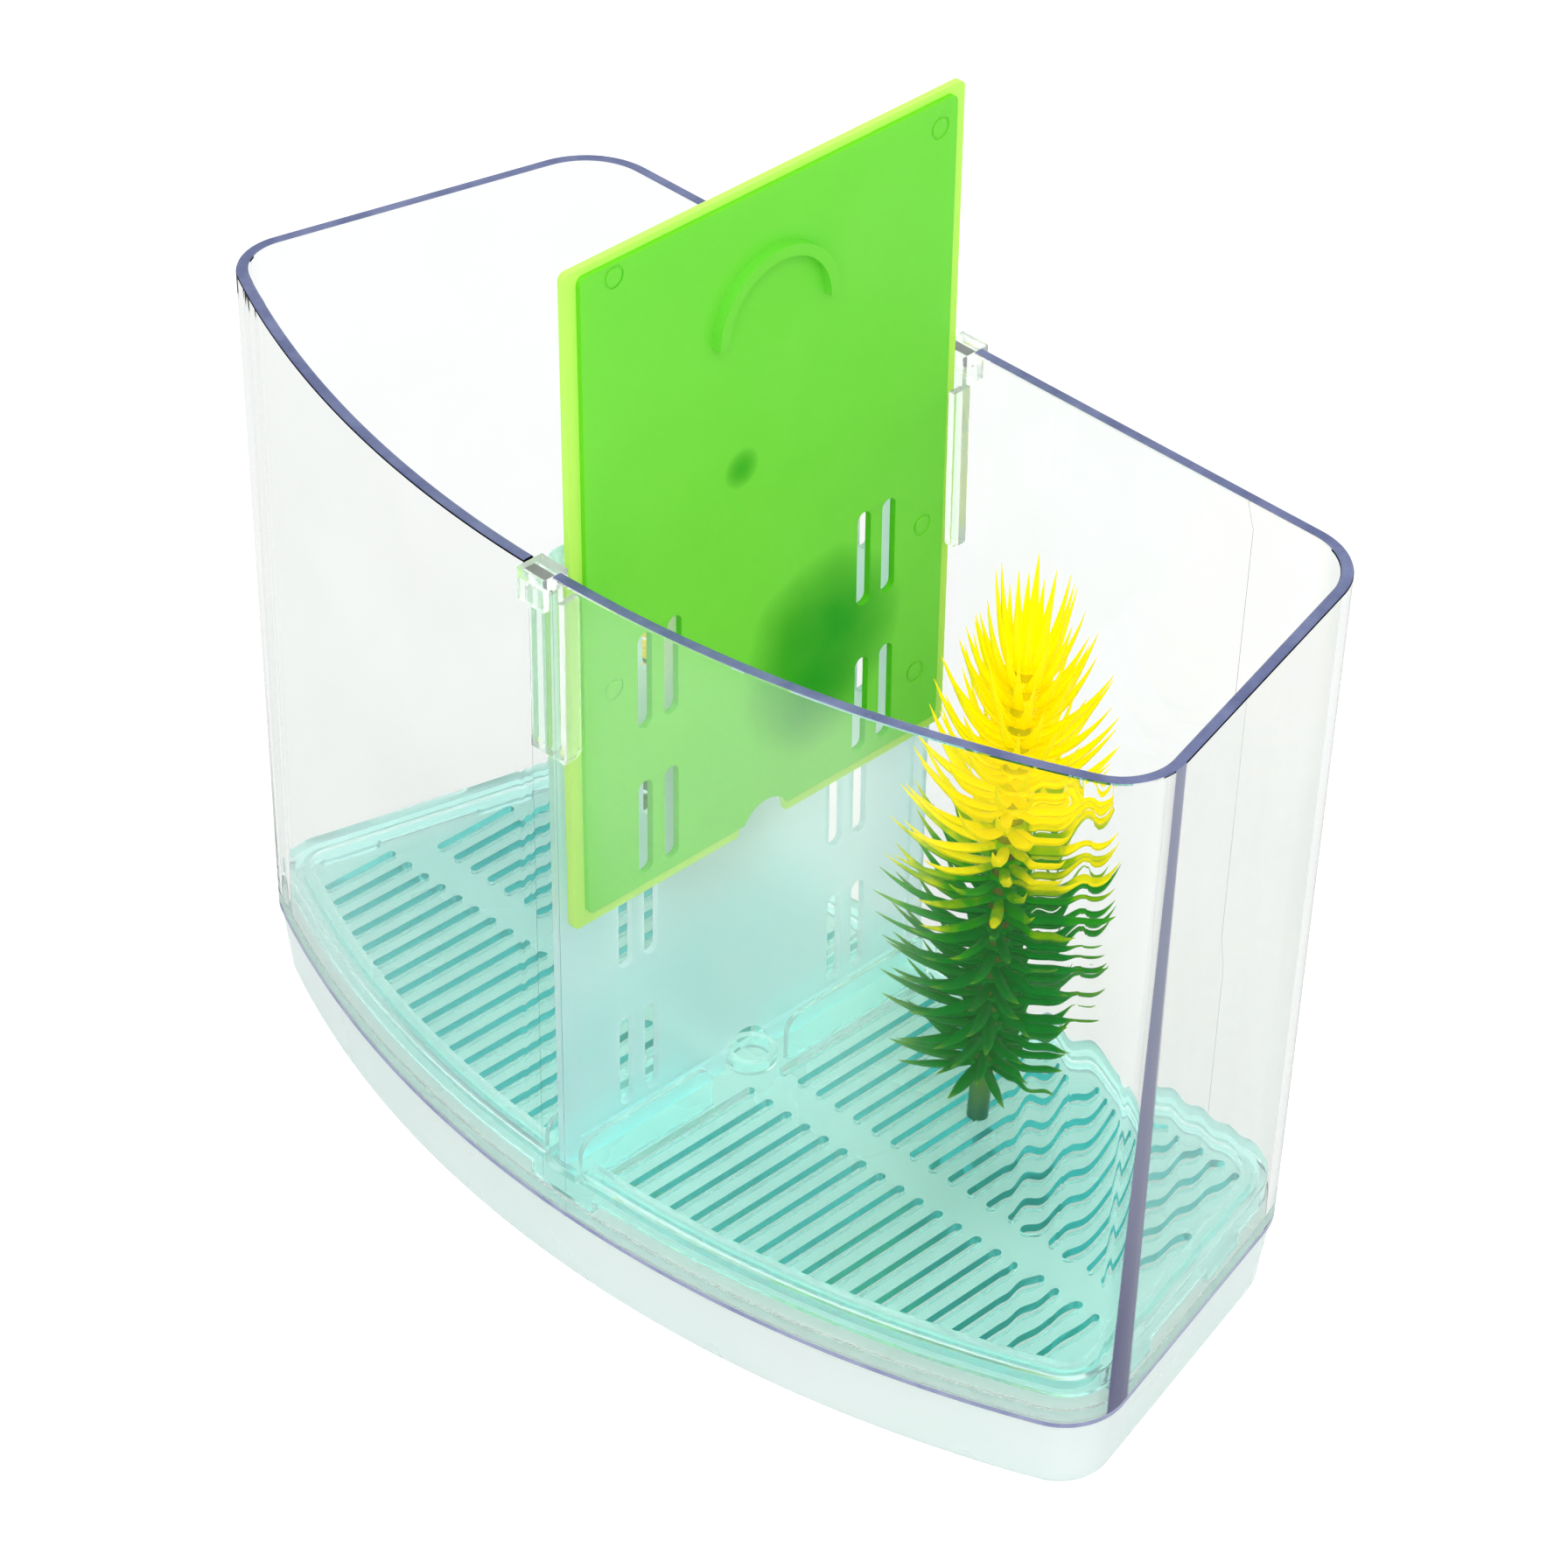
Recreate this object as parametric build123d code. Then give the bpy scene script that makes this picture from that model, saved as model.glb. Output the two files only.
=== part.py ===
from build123d import *
import math
import os

# A small divided fish case: a clear bow-front tank on a translucent base, with a slotted
# grid tray, two hook-on rails, two sliding dividers and two needle-leaved plants.
# Millimetres. X runs along the length, the bow faces -Y, Z is up.
# The origin is on the resting face, under the middle of the case.

# Tank
rim_half_front = 100.0      # middle to sharp front corner, at the rim
rim_half_back = 83.2        # middle to sharp back corner, at the rim
tank_depth = 90.5           # crown of the bow to the back face, at the rim
bow_rise = 24.7             # how far the bow swells past its corners
tank_height = 123.2
wall = 2.0
end_lean = 4.0              # how far each end leans in from rim to tank bottom
back_lean = 3.0
front_lean = 0.5
front_corner_radius = 10.6
back_corner_radius = 13.4
floor_thickness = 1.6
foot_ring_depth = 0.6       # hollow under the tank floor that locates the tank on its base
notch_width = 6.2
notch_depth = 2.5

# Base
base_height = 13.2
base_top_inset = 0.4
base_bottom_inset = 1.8
base_wall = 2.8
base_deck = 2.0
base_edge_radius = 1.4
pad_fit = 0.25              # side play between the locating pad and the tank's foot ring
pad_gap = 0.15              # the pad stays this much lower than the tank floor

# Grid tray
tray_side_gap = 1.0         # between the tray and the tank wall
tray_foot_height = 2.5
tray_plate = 1.5
tray_lip_rise = 2.5         # lip above the plate
tray_lip_width = 3.8
tray_skin = 1.3             # thickness of the folded lip
slot_width = 1.6
slot_pitch = 4.22
first_slot_x = 5.6
slot_margin = 1.2           # solid edge between slot ends and the lip
strip_y = -2.2              # middle of the plain strip between the two rows of slots
strip_width = 6.1
shortest_slot = 4.0
tab_height = 8.4            # above the plate
tab_thickness = 1.0
tab_gap_front = 12.6        # front tabs stop this far short of the dividers' middle
tab_gap_back = 4.0
tab_corner = 3.2
boss_radius = 4.2
boss_height = 2.4
boss_wall = 1.2
tab_side_gap = 0.3          # between the tabs and the dividers
centre_foot_width = 13.8
end_foot_width = 10.0
end_foot_from_corner = 12.0

# Rails
rail_length = 29.0
rail_top_drop = 5.4         # rim to the top of the grooves
rail_wall_gap = 0.3
rail_web = 1.0
rib_thickness = 1.2
rib_depth = 2.5
rib_tip_radius = 1.5
hook_side_gap = 0.3
hook_below_rim = 0.2
hook_lip = 1.2
hook_drop = 3.4             # the outer lip hangs this far under the notch

# Dividers
plate_thickness = 1.2
panel_step = 0.9            # the panel stands this far proud of the border round it
step_wall = 1.0             # width of the plate's overlap where it steps up
side_border = 2.4           # border that runs in the grooves
bottom_border = 2.4
top_border = 1.2
groove_side_play = 0.3
groove_end_play = 0.6
divider_taper = 1.05        # narrower at the foot, each side
divider_corner = 1.2
green_lift = 48.9           # how far the green divider is pulled up
vent_width = 2.9
vent_length = 17.4
vent_inner = 20.2           # middle of the divider to its inner vents
vent_spacing = 5.4
vent_foot = 4.5             # divider's foot to the lower vents
vent_row_pitch = 27.4
green_vent_rows = 2
clear_vent_rows = 4
arch_radius = 5.2
grip_radius = 11.5
grip_drop = 23.8            # divider's top edge to the middle of the grip
grip_band = 1.9
grip_rise = 1.8
mark_radius = 1.9
mark_inner_radius = 1.5
mark_depth = 0.2
# moulding marks, as shares of the divider's half width and of its height
mark_spots = ((0.85, 0.952), (-0.78, 0.971), (0.81, 0.35), (-0.78, 0.36), (0.79, 0.114))

# Plants
plant_slot = 7              # slot, counted from the middle, that holds each stem's peg
right_plant_y = 15.9
left_plant_y = 18.5
right_plant_tilt = 3.1      # degrees
left_plant_tilt = 1.0
left_plant_turn = 11.0      # degrees about its own stem
stem_radius = 1.75
stem_tip = 0.15             # bare stem above the top whorl
stem_tip_radius = 1.4
peg_radius = 0.65
peg_length = 1.4
stem_stand = 0.12           # keeps a leaning stem's heel off the tray
whorl_count = 24
first_whorl = 11.5          # above the stem's foot
whorl_pitch = 3.34
needles_per_whorl = 10
needle_reach = 20.0
needle_width = 1.3          # at the hub
needle_flatness = 0.8       # height of a needle's section, as a share of its width
needle_bend = 0.55          # where along its reach a needle turns up most
needle_sag = 0.12           # share of the rise already gained at the bend
# share of the way along a needle, and its width there as a share of the width at the hub
needle_taper = ((0.0, 1.0), (0.4, 0.85), (0.75, 0.6), (1.0, 0.22))
# the plant's outline is a spindle: this much of half a sine wave, blunted by a power
spindle_start = 0.22
spindle_span = 0.74
spindle_power = 0.6
lowest_rise = 2.5           # how far needle tips stand above their hub, lowest whorl
highest_rise = 15.5
rise_power = 0.8            # needles steepen faster low down on the stem than near its top
hub_radius = 2.5
hub_height = 1.6
hub_fit = 0.05
needle_root = 0.35          # needles start this deep inside the hub
whorl_turn = 23.0           # degrees from one whorl to the next

rim_z = base_height + tank_height
floor_top = base_height + foot_ring_depth + floor_thickness
tray_bottom = floor_top + tray_foot_height
plate_top = tray_bottom + tray_plate
lip_top = plate_top + tray_lip_rise
front_y = -tank_depth / 2
back_y = tank_depth / 2
corner_y = front_y + bow_rise
bow_radius = (rim_half_front ** 2 + bow_rise ** 2) / (2 * bow_rise)
end_run = back_y - corner_y
end_length = math.hypot(rim_half_front - rim_half_back, end_run)
end_slope = (rim_half_front - rim_half_back) / end_run
end_stretch = end_length / end_run
divider_height = rim_z - plate_top
hook_width = notch_width - 2 * hook_side_gap
hook_thickness = notch_depth - hook_below_rim
top_whorl = first_whorl + whorl_pitch * (whorl_count - 1)
stem_length = top_whorl + hub_height / 2 + stem_tip
plant_x = first_slot_x + slot_pitch * plant_slot
groove_width = plate_thickness + 2 * groove_side_play
divider_x = (groove_width + rib_thickness) / 2
rail_half_width = divider_x + groove_width / 2 + rib_thickness
rail_top = rim_z - rail_top_drop
rail_bottom = rail_top - rail_length
panel_face = plate_thickness / 2 + panel_step    # from the middle of the border
tab_inner_x = divider_x + panel_face + tab_side_gap
tray_inset = wall + tray_side_gap
lip_inset = tray_inset + tray_lip_width
through = 4.0               # how far cutting shapes run past the faces they cut
clear = 1.0                 # the same, where something else lies close behind


def lean_share(z):
    """0 at the rim, 1 at the tank's bottom edge"""
    return (rim_z - z) / tank_height


def end_x(y, z, inset):
    """half width of the plan at a depth y, at a height z, inside the outer face by inset"""
    outer = rim_half_front - end_slope * (y - corner_y) - end_lean * lean_share(z)
    return outer - inset * end_stretch


def bow_y(x, z, inset):
    """front face of the plan at x"""
    centre = front_y + bow_radius + front_lean * lean_share(z)
    return centre - math.sqrt((bow_radius - inset) ** 2 - x * x)


def back_face(z, inset):
    return back_y - back_lean * lean_share(z) - inset


def front_corner(z, inset):
    """where the end wall meets the bow, found by stepping along the end wall"""
    y = corner_y
    for _ in range(40):
        y = bow_y(end_x(y, z, inset), z, inset)
    return end_x(y, z, inset), y


def plan(z, inset):
    """outline of the tank's outer face at height z, moved inward by inset"""
    fx, fy = front_corner(z, inset)
    by = back_face(z, inset)
    bx = end_x(by, z, inset)
    crown = bow_y(0, z, inset)
    edges = [
        Line((-bx, by), (bx, by)),
        Line((bx, by), (fx, fy)),
        ThreePointArc((fx, fy), (0, crown), (-fx, fy)),
        Line((-fx, fy), (-bx, by)),
    ]
    face = make_face(edges)
    back = [v for v in face.vertices() if v.Y > (by + fy) / 2]
    face = fillet(back, max(back_corner_radius - inset, wall))
    front = sorted(face.vertices(), key=lambda v: v.Y)[:2]
    face = fillet(front, max(front_corner_radius - inset, wall))
    return Pos(0, 0, z) * face


def leaning_block(z0, z1, inset0, inset1):
    """solid between two plan outlines"""
    return loft([plan(z0, inset0), plan(z1, inset1)], ruled=True)


def straight_block(z0, z1, z_plan, inset):
    """upright solid whose plan is the tank's at z_plan"""
    return extrude(Pos(0, 0, z0 - z_plan) * plan(z_plan, inset), z1 - z0)


def block(x0, x1, y0, y1, z0, z1):
    centre = Pos((x0 + x1) / 2, (y0 + y1) / 2, (z0 + z1) / 2)
    return centre * Box(x1 - x0, y1 - y0, z1 - z0)


def slot_block(x, y0, y1, z0, z1, width):
    """upright cutter for a round-ended slot that runs along Y"""
    bar = SlotOverall(y1 - y0, width, rotation=90)
    return Pos(x, (y0 + y1) / 2, z0) * extrude(bar, z1 - z0)


# Where the rails and dividers stand between the front and back walls
front_web_outer = bow_y(rail_half_width, rail_bottom, wall) + rail_wall_gap
back_web_outer = back_face(rail_bottom, wall) - rail_wall_gap
divider_y = (front_web_outer + back_web_outer) / 2
groove_half_span = (back_web_outer - front_web_outer) / 2 - rail_web
divider_half_top = groove_half_span - groove_end_play
divider_half_foot = divider_half_top - divider_taper


def make_tank():
    tank = leaning_block(base_height, rim_z, 0, 0)
    tank -= leaning_block(floor_top, rim_z + through, wall, wall)
    tank -= straight_block(base_height - through, base_height + foot_ring_depth, base_height, wall)
    half = notch_width / 2
    reach = tank_depth / 2 + through
    tank -= block(-half, half, -reach, reach, rim_z - notch_depth, rim_z + through)
    return tank


def make_base():
    base = leaning_block(0, base_height, base_bottom_inset, base_top_inset)
    sole = base.faces().sort_by(Axis.Z)[0]
    base = fillet(sole.edges(), base_edge_radius)
    deck_under = base_height - base_deck
    base -= leaning_block(-through, deck_under, base_bottom_inset + base_wall, base_top_inset + base_wall)
    pad_top = base_height + foot_ring_depth - pad_gap
    base += straight_block(base_height - base_deck / 2, pad_top, base_height, wall + pad_fit)
    return base


def tray_slot_ranges(x):
    """the two runs of slot at x, front row then back row, cut short by the tray's edge"""
    edge = lip_inset + slot_margin
    front = bow_y(x, tray_bottom, edge)
    back = back_face(tray_bottom, edge)
    end = (end_x(0, tray_bottom, edge) - x - slot_width / 2) / end_slope
    rows = [
        (front, min(strip_y - strip_width / 2, end)),
        (strip_y + strip_width / 2, min(back, end)),
    ]
    return [row for row in rows if row[1] - row[0] > shortest_slot]


def tray_slot_positions():
    count = int((end_x(front_y, tray_bottom, lip_inset) - first_slot_x) / slot_pitch)
    return [first_slot_x + slot_pitch * k for k in range(count)]


def make_tab(y0, y1):
    """upright plate beside the dividers, with both upper corners rounded"""
    sketch = Plane.YZ * Pos((y0 + y1) / 2, tab_height / 2) * Rectangle(y1 - y0, tab_height)
    top = sketch.vertices().sort_by(Axis.Z)[2:]
    sketch = fillet(top, tab_corner)
    return extrude(sketch, tab_thickness)


def make_tray():
    tray = straight_block(tray_bottom, lip_top, tray_bottom, tray_inset)
    tray -= straight_block(plate_top, lip_top + through, tray_bottom, lip_inset)
    fold = straight_block(tray_bottom - through, lip_top - tray_skin, tray_bottom, tray_inset + tray_skin)
    fold -= straight_block(tray_bottom - 2 * through, lip_top, tray_bottom, lip_inset - tray_skin)
    tray -= fold
    tray_front = bow_y(0, tray_bottom, tray_inset)
    tray_back = back_face(tray_bottom, tray_inset)
    # gap in the lip where the dividers come down
    gap_front = tray_front - through
    gap_back = tray_back + through
    tray -= block(-tab_inner_x, tab_inner_x, gap_front, gap_back, plate_top, lip_top + through)
    low = tray_bottom - clear
    high = plate_top + clear
    cutters = []
    for x in tray_slot_positions():
        for y0, y1 in tray_slot_ranges(x):
            for side in (-1, 1):
                cutters.append(slot_block(side * x, y0, y1, low, high, slot_width))
    tray -= cutters
    lip_reach = tray_lip_width - tray_skin
    front_tab = make_tab(tray_front + tray_skin / 2, divider_y - tab_gap_front)
    back_tab = make_tab(divider_y + tab_gap_back, tray_back - lip_reach / 2)
    for tab in (front_tab, back_tab):
        tray += Pos(tab_inner_x, 0, plate_top) * tab
        tray += Pos(-tab_inner_x - tab_thickness, 0, plate_top) * tab
    ring = Cylinder(boss_radius, boss_height + tray_plate / 2)
    ring -= Cylinder(boss_radius - boss_wall, boss_height + through)
    tray += Pos(0, divider_y, plate_top + boss_height / 2 - tray_plate / 4) * ring
    for foot in tray_feet(tray_front, tray_back):
        tray += foot
    return tray


def tray_feet(tray_front, tray_back):
    """pads under the tray's outer skin: front, back and two at each end"""
    half = centre_foot_width / 2
    top = tray_bottom + tray_skin
    whole = straight_block(floor_top, top, tray_bottom, tray_inset)
    whole -= straight_block(floor_top - clear, top + clear, tray_bottom, tray_inset + tray_skin)
    feet = [
        whole & block(-half, half, tray_front - clear, 0, floor_top, top),
        whole & block(-half, half, 0, tray_back + clear, floor_top, top),
    ]
    front_end_y = corner_y + end_foot_from_corner
    back_end_y = back_y - back_corner_radius - end_foot_from_corner
    half = end_foot_width / 2
    for y in (front_end_y, back_end_y):
        band = block(-rim_half_front, rim_half_front, y - half, y + half, floor_top, top)
        feet.extend((whole & band).solids())
    return feet


def make_rail(side):
    """hook-on rail with two grooves; side is -1 for the front wall and 1 for the back wall"""
    web_outer = abs(front_web_outer) if side < 0 else back_web_outer
    web_inner = web_outer - rail_web
    rib_tip = web_inner - rib_depth
    outer_face = tank_depth / 2 + rail_wall_gap
    notch_floor = rim_z - notch_depth
    half = rail_half_width
    rail = block(-half, half, web_inner, web_outer, rail_bottom, rail_top)
    for x in (-half + rib_thickness / 2, 0, half - rib_thickness / 2):
        rib = rib_thickness / 2
        rail += block(x - rib, x + rib, rib_tip, web_inner, rail_bottom, rail_top)
    lowest = rail.edges().filter_by(Axis.X).group_by(Axis.Z)[0]
    rail = fillet(lowest.group_by(Axis.Y)[0], rib_tip_radius)
    neck = hook_width / 2
    hook_top = notch_floor + hook_thickness
    lip_face = outer_face + hook_lip
    rail += block(-neck, neck, web_inner, web_outer, rail_top, hook_top)
    rail += block(-neck, neck, web_inner, lip_face, notch_floor, hook_top)
    rail += block(-neck, neck, outer_face, lip_face, notch_floor - hook_drop, hook_top)
    if side < 0:
        rail = mirror(rail, about=Plane.XZ)
    return rail


def divider_outline(border_side, border_foot, border_top):
    """plate outline in its own YZ plane, foot at z = 0, moved in by the borders"""
    slope = divider_taper / divider_height
    z0 = border_foot
    z1 = divider_height - border_top
    half0 = divider_half_foot + slope * z0 - border_side
    half1 = divider_half_foot + slope * z1 - border_side
    sketch = make_face(Polyline((-half0, z0), (half0, z0), (half1, z1), (-half1, z1), close=True))
    return Plane.YZ * fillet(sketch.vertices(), divider_corner)


def make_divider(vent_rows):
    """slotted plate standing on z = 0 about y = 0, with its panel and grip on the +X side"""
    half = plate_thickness / 2
    plate = extrude(divider_outline(0, 0, 0), half, both=True)
    plate += extrude(divider_outline(side_border, bottom_border, top_border), panel_face)
    recess = divider_outline(side_border + step_wall, bottom_border + step_wall, top_border + step_wall)
    recess_floor = panel_face - plate_thickness
    plate -= Pos(-through, 0, 0) * extrude(recess, through + recess_floor)
    cutters = [extrude(Plane.YZ * Circle(arch_radius), through, both=True)]
    vent = SlotOverall(vent_length, vent_width, rotation=90)
    for y in (vent_inner, vent_inner + vent_spacing):
        for row in range(vent_rows):
            for side in (-1, 1):
                place = Pos(side * y, vent_foot + vent_row_pitch * row + vent_length / 2)
                cutters.append(extrude(Plane.YZ * place * vent, through, both=True))
    for across, up in mark_spots:
        place = Pos(across * divider_half_top, up * divider_height)
        mark = Plane.YZ * place * (Circle(mark_radius) - Circle(mark_inner_radius))
        cutters.append(Pos(panel_face - mark_depth, 0, 0) * extrude(mark, through))
    plate -= cutters
    arch = Circle(grip_radius + grip_band / 2) - Circle(grip_radius - grip_band / 2)
    arch &= Pos(0, grip_radius) * Rectangle(4 * grip_radius, 2 * grip_radius)
    place = Pos(0, divider_height - grip_drop)
    grip = extrude(Plane.YZ * place * arch, grip_rise + half)
    return plate + Pos(panel_face - half, 0, 0) * grip


def needle_section(radius, height, size, angle):
    """small square across a needle, at a distance from the stem and a height over the hub"""
    across = Plane(origin=(radius, 0, height), x_dir=(0, 1, 0), z_dir=(math.cos(angle), 0, math.sin(angle)))
    return across * Rectangle(size, size * needle_flatness)


def make_needle(reach, rise):
    """one tapering needle that leaves the hub level and curves up, on a quadratic curve"""
    start = hub_radius - needle_root
    bend = start + (reach - start) * needle_bend
    sag = rise * needle_sag
    sections = []
    for share, size in needle_taper:
        a = (1 - share) ** 2
        b = 2 * share * (1 - share)
        c = share ** 2
        radius = a * start + b * bend + c * reach
        height = b * sag + c * rise
        run = 2 * (1 - share) * (bend - start) + 2 * share * (reach - bend)
        climb = 2 * (1 - share) * sag + 2 * share * (rise - sag)
        sections.append(needle_section(radius, height, needle_width * size, math.atan2(climb, run)))
    return loft(sections, ruled=True)


def make_whorl(index):
    """hub ring with its needles, about the stem's axis; the top ones stand steep and short"""
    up = index / (whorl_count - 1)
    spindle = math.sin(math.pi * (spindle_start + spindle_span * up)) ** spindle_power
    reach = needle_reach * spindle
    rise = lowest_rise + (highest_rise - lowest_rise) * up ** rise_power
    hub = Cylinder(hub_radius, hub_height) - Cylinder(stem_radius + hub_fit, 2 * hub_height)
    needle = make_needle(reach, rise)
    step = 360 / needles_per_whorl
    ring = [Rot(0, 0, step * k) * needle for k in range(needles_per_whorl)]
    whorl = hub + ring
    return Pos(0, 0, first_whorl + whorl_pitch * index) * Rot(0, 0, whorl_turn * index) * whorl


def make_stem():
    stem = Pos(0, 0, stem_stand + stem_length / 2) * Cylinder(stem_radius, stem_length)
    stem = fillet(stem.edges().sort_by(Axis.Z)[-1], stem_tip_radius)
    peg = stem_stand + peg_length
    return stem + Pos(0, 0, stem_stand - peg / 2) * Cylinder(peg_radius, peg)


def plant_place(x, y, tilt):
    """plants lean a little to the right and back from their peg, by equal amounts"""
    each = tilt / math.sqrt(2)
    return Pos(x, y, plate_top) * Rot(-each, each, 0)


def export(shape, name):
    export_step(shape, "parts/" + name + ".step")


def main():
    os.makedirs("parts", exist_ok=True)
    export(make_tank(), "tank")
    export(make_base(), "base")
    export(make_tray(), "grid_tray")
    export(make_rail(-1), "front_rail")
    export(make_rail(1), "rear_rail")
    green = Pos(divider_x, divider_y, plate_top + green_lift) * make_divider(green_vent_rows)
    export(green, "green_divider")
    frosted = Pos(-divider_x, divider_y, plate_top) * Rot(0, 0, 180) * make_divider(clear_vent_rows)
    export(frosted, "clear_divider")
    places = {
        "right": plant_place(plant_x, right_plant_y, right_plant_tilt),
        "left": plant_place(-plant_x, left_plant_y, left_plant_tilt) * Rot(0, 0, left_plant_turn),
    }
    stem = make_stem()
    whorls = [make_whorl(k) for k in range(whorl_count)]
    for side, place in places.items():
        export(place * stem, side + "_stem")
        for k, whorl in enumerate(whorls):
            export(place * whorl, f"{side}_whorl_{k + 1:02d}")


main()
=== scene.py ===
import math
import random

import bmesh
import bpy
from mathutils import Matrix, Vector


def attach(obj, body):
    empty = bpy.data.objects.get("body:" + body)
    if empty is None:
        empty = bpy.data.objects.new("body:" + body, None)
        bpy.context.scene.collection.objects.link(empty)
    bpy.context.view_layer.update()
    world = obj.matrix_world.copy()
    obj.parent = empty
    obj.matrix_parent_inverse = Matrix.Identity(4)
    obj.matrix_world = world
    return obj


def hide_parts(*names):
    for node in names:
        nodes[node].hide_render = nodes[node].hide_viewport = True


# Looks for a small bow-front fish case. Metres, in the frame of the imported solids.
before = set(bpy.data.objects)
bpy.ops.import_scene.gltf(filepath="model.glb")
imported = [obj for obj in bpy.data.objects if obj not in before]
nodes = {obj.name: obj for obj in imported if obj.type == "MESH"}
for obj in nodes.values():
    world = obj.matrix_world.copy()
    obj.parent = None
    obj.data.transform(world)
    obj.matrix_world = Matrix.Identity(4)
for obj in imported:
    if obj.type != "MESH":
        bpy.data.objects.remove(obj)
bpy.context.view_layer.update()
MM = 0.001
TAU = 2 * math.pi

# Tank, in millimetres: the same named sizes as the solid it stands for
RIM_HALF_FRONT = 100.0
RIM_HALF_BACK = 83.2
TANK_DEPTH = 90.5
BOW_RISE = 24.7
TANK_BOTTOM = 13.2
RIM_Z = 136.4
WALL = 2.0
END_LEAN = 4.0
BACK_LEAN = 3.0
FRONT_LEAN = 0.5
FRONT_CORNER = 10.6
BACK_CORNER = 13.4
FLOOR_TOP = 15.4
FOOT_RING = 0.6
RIM_ROUND = 0.35            # rounding of the rim's two edges and of the foot's outer edge
AIR_GAP = 0.03              # keeps faces that rest on each other from meeting
FOOT_LINE = 1.2             # height of the violet line round the tank's bottom edge
FOOT_LEVELS = (2, 3)        # which bands of the shell's mesh make that line
WALL_BANDS = 24             # bands of the shell's mesh from foot to rim
SHARP_ANGLE = 18            # degrees between faces that meet in a hard edge
OUTLINE_STEPS = {"bow": 150, "front": 28, "end": 60, "rear": 28, "back": 40}
ARC_END_Y = -12.3           # where the front corner's arc runs into the end wall, at the rim
BOW_RIPPLE = (0.04, 6.4)    # height and length of the inner face's waves, by the front corners
END_RIPPLE = (0.012, 10.5)  # the same along the end walls
NO_CORNER = -90.0           # the attribute "corner" away from the right-hand front corner
NOTCH_HALF = 3.1
NOTCH_DEPTH = 2.5
BACK_Y = TANK_DEPTH / 2
CORNER_Y = BOW_RISE - TANK_DEPTH / 2
BOW_RADIUS = (RIM_HALF_FRONT ** 2 + BOW_RISE ** 2) / (2 * BOW_RISE)
END_SLOPE = (RIM_HALF_FRONT - RIM_HALF_BACK) / (BACK_Y - CORNER_Y)

# Plants, in millimetres
WHORLS = 24
NEEDLES = 10                # round each whorl
WHORL_TURN = 23.0           # degrees from each whorl to the next
NEEDLE_REACH = 20.0         # from the stem's middle, at the plant's widest
NEEDLE_WIDTH = 2.0
NEEDLE_STEPS = 9
NEEDLE_SIDES = 6
NEEDLE_ROOT = 1.9           # from the stem's middle to a needle's start, inside the hub
NEEDLE_BEND = 0.55          # where along its reach a needle turns up most
NEEDLE_SAG = 0.12           # share of the rise already gained at the bend
NEEDLE_HALF_HEIGHT = 0.36   # of a needle's section, as a share of its width
HUB_SIDES = 20
HUB_PROFILE = ((1.72, -0.8), (2.2, -0.75), (2.5, -0.3), (2.45, 0.35), (2.1, 0.8), (1.72, 0.85))
PLANT_X = 35.14
PLATE_TOP = 19.4
FIRST_WHORL = 11.5
WHORL_PITCH = 3.34
PLANTS = {
    "right": {"at": (PLANT_X, 15.9), "tilt": 3.1, "turn": 0.0, "seed": 7},
    "left": {"at": (-PLANT_X, 18.5), "tilt": 1.0, "turn": 11.0, "seed": 19},
}

# Dividers, in millimetres
DIVIDER_X = 1.5
DIVIDER_Y = -0.55
BORDER_HALF_THICKNESS = 0.6
PANEL_FACE = 1.5
DIVIDER_HEIGHT = 117.0
DIVIDER_HALF = 37.0
GREEN_FOOT = 68.3
SKIN = 0.05                 # how near a face lies to a plane to count as in it

# Two soft dark patches on the green divider, a painted shadow of the plant behind it and a small
# dark spot: the middle of each, how far it reaches along y and z, in millimetres, and how much it darkens
PAINTED_SHADOW_AND_SPOT = (((11.0, 96.0), (17.0, 19.0), 1.0), ((-6.5, 137.8), (3.6, 3.6), 0.75))

# Light. The floor shines a little of its own for the camera, and less through glass or off gloss
FLOOR_LIFT = 0.35
GLASS_LIFT = 0.05
WORLD_LEVEL = 1.0
PLASTIC_IOR = 1.47
FLOOR_HALF = 6.0            # metres

# Camera: degrees, millimetres, and its shift as a share of the frame
AZIMUTH, ELEVATION, ROLL = 45.13, 36.51, 0.61
LOOK_AT = (-6.01, 12.36, 64.53)
DISTANCE = 921.1
LENS = 132.55
SHIFT = (-0.00114, 0.0002)


# ---------- materials ----------

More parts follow.
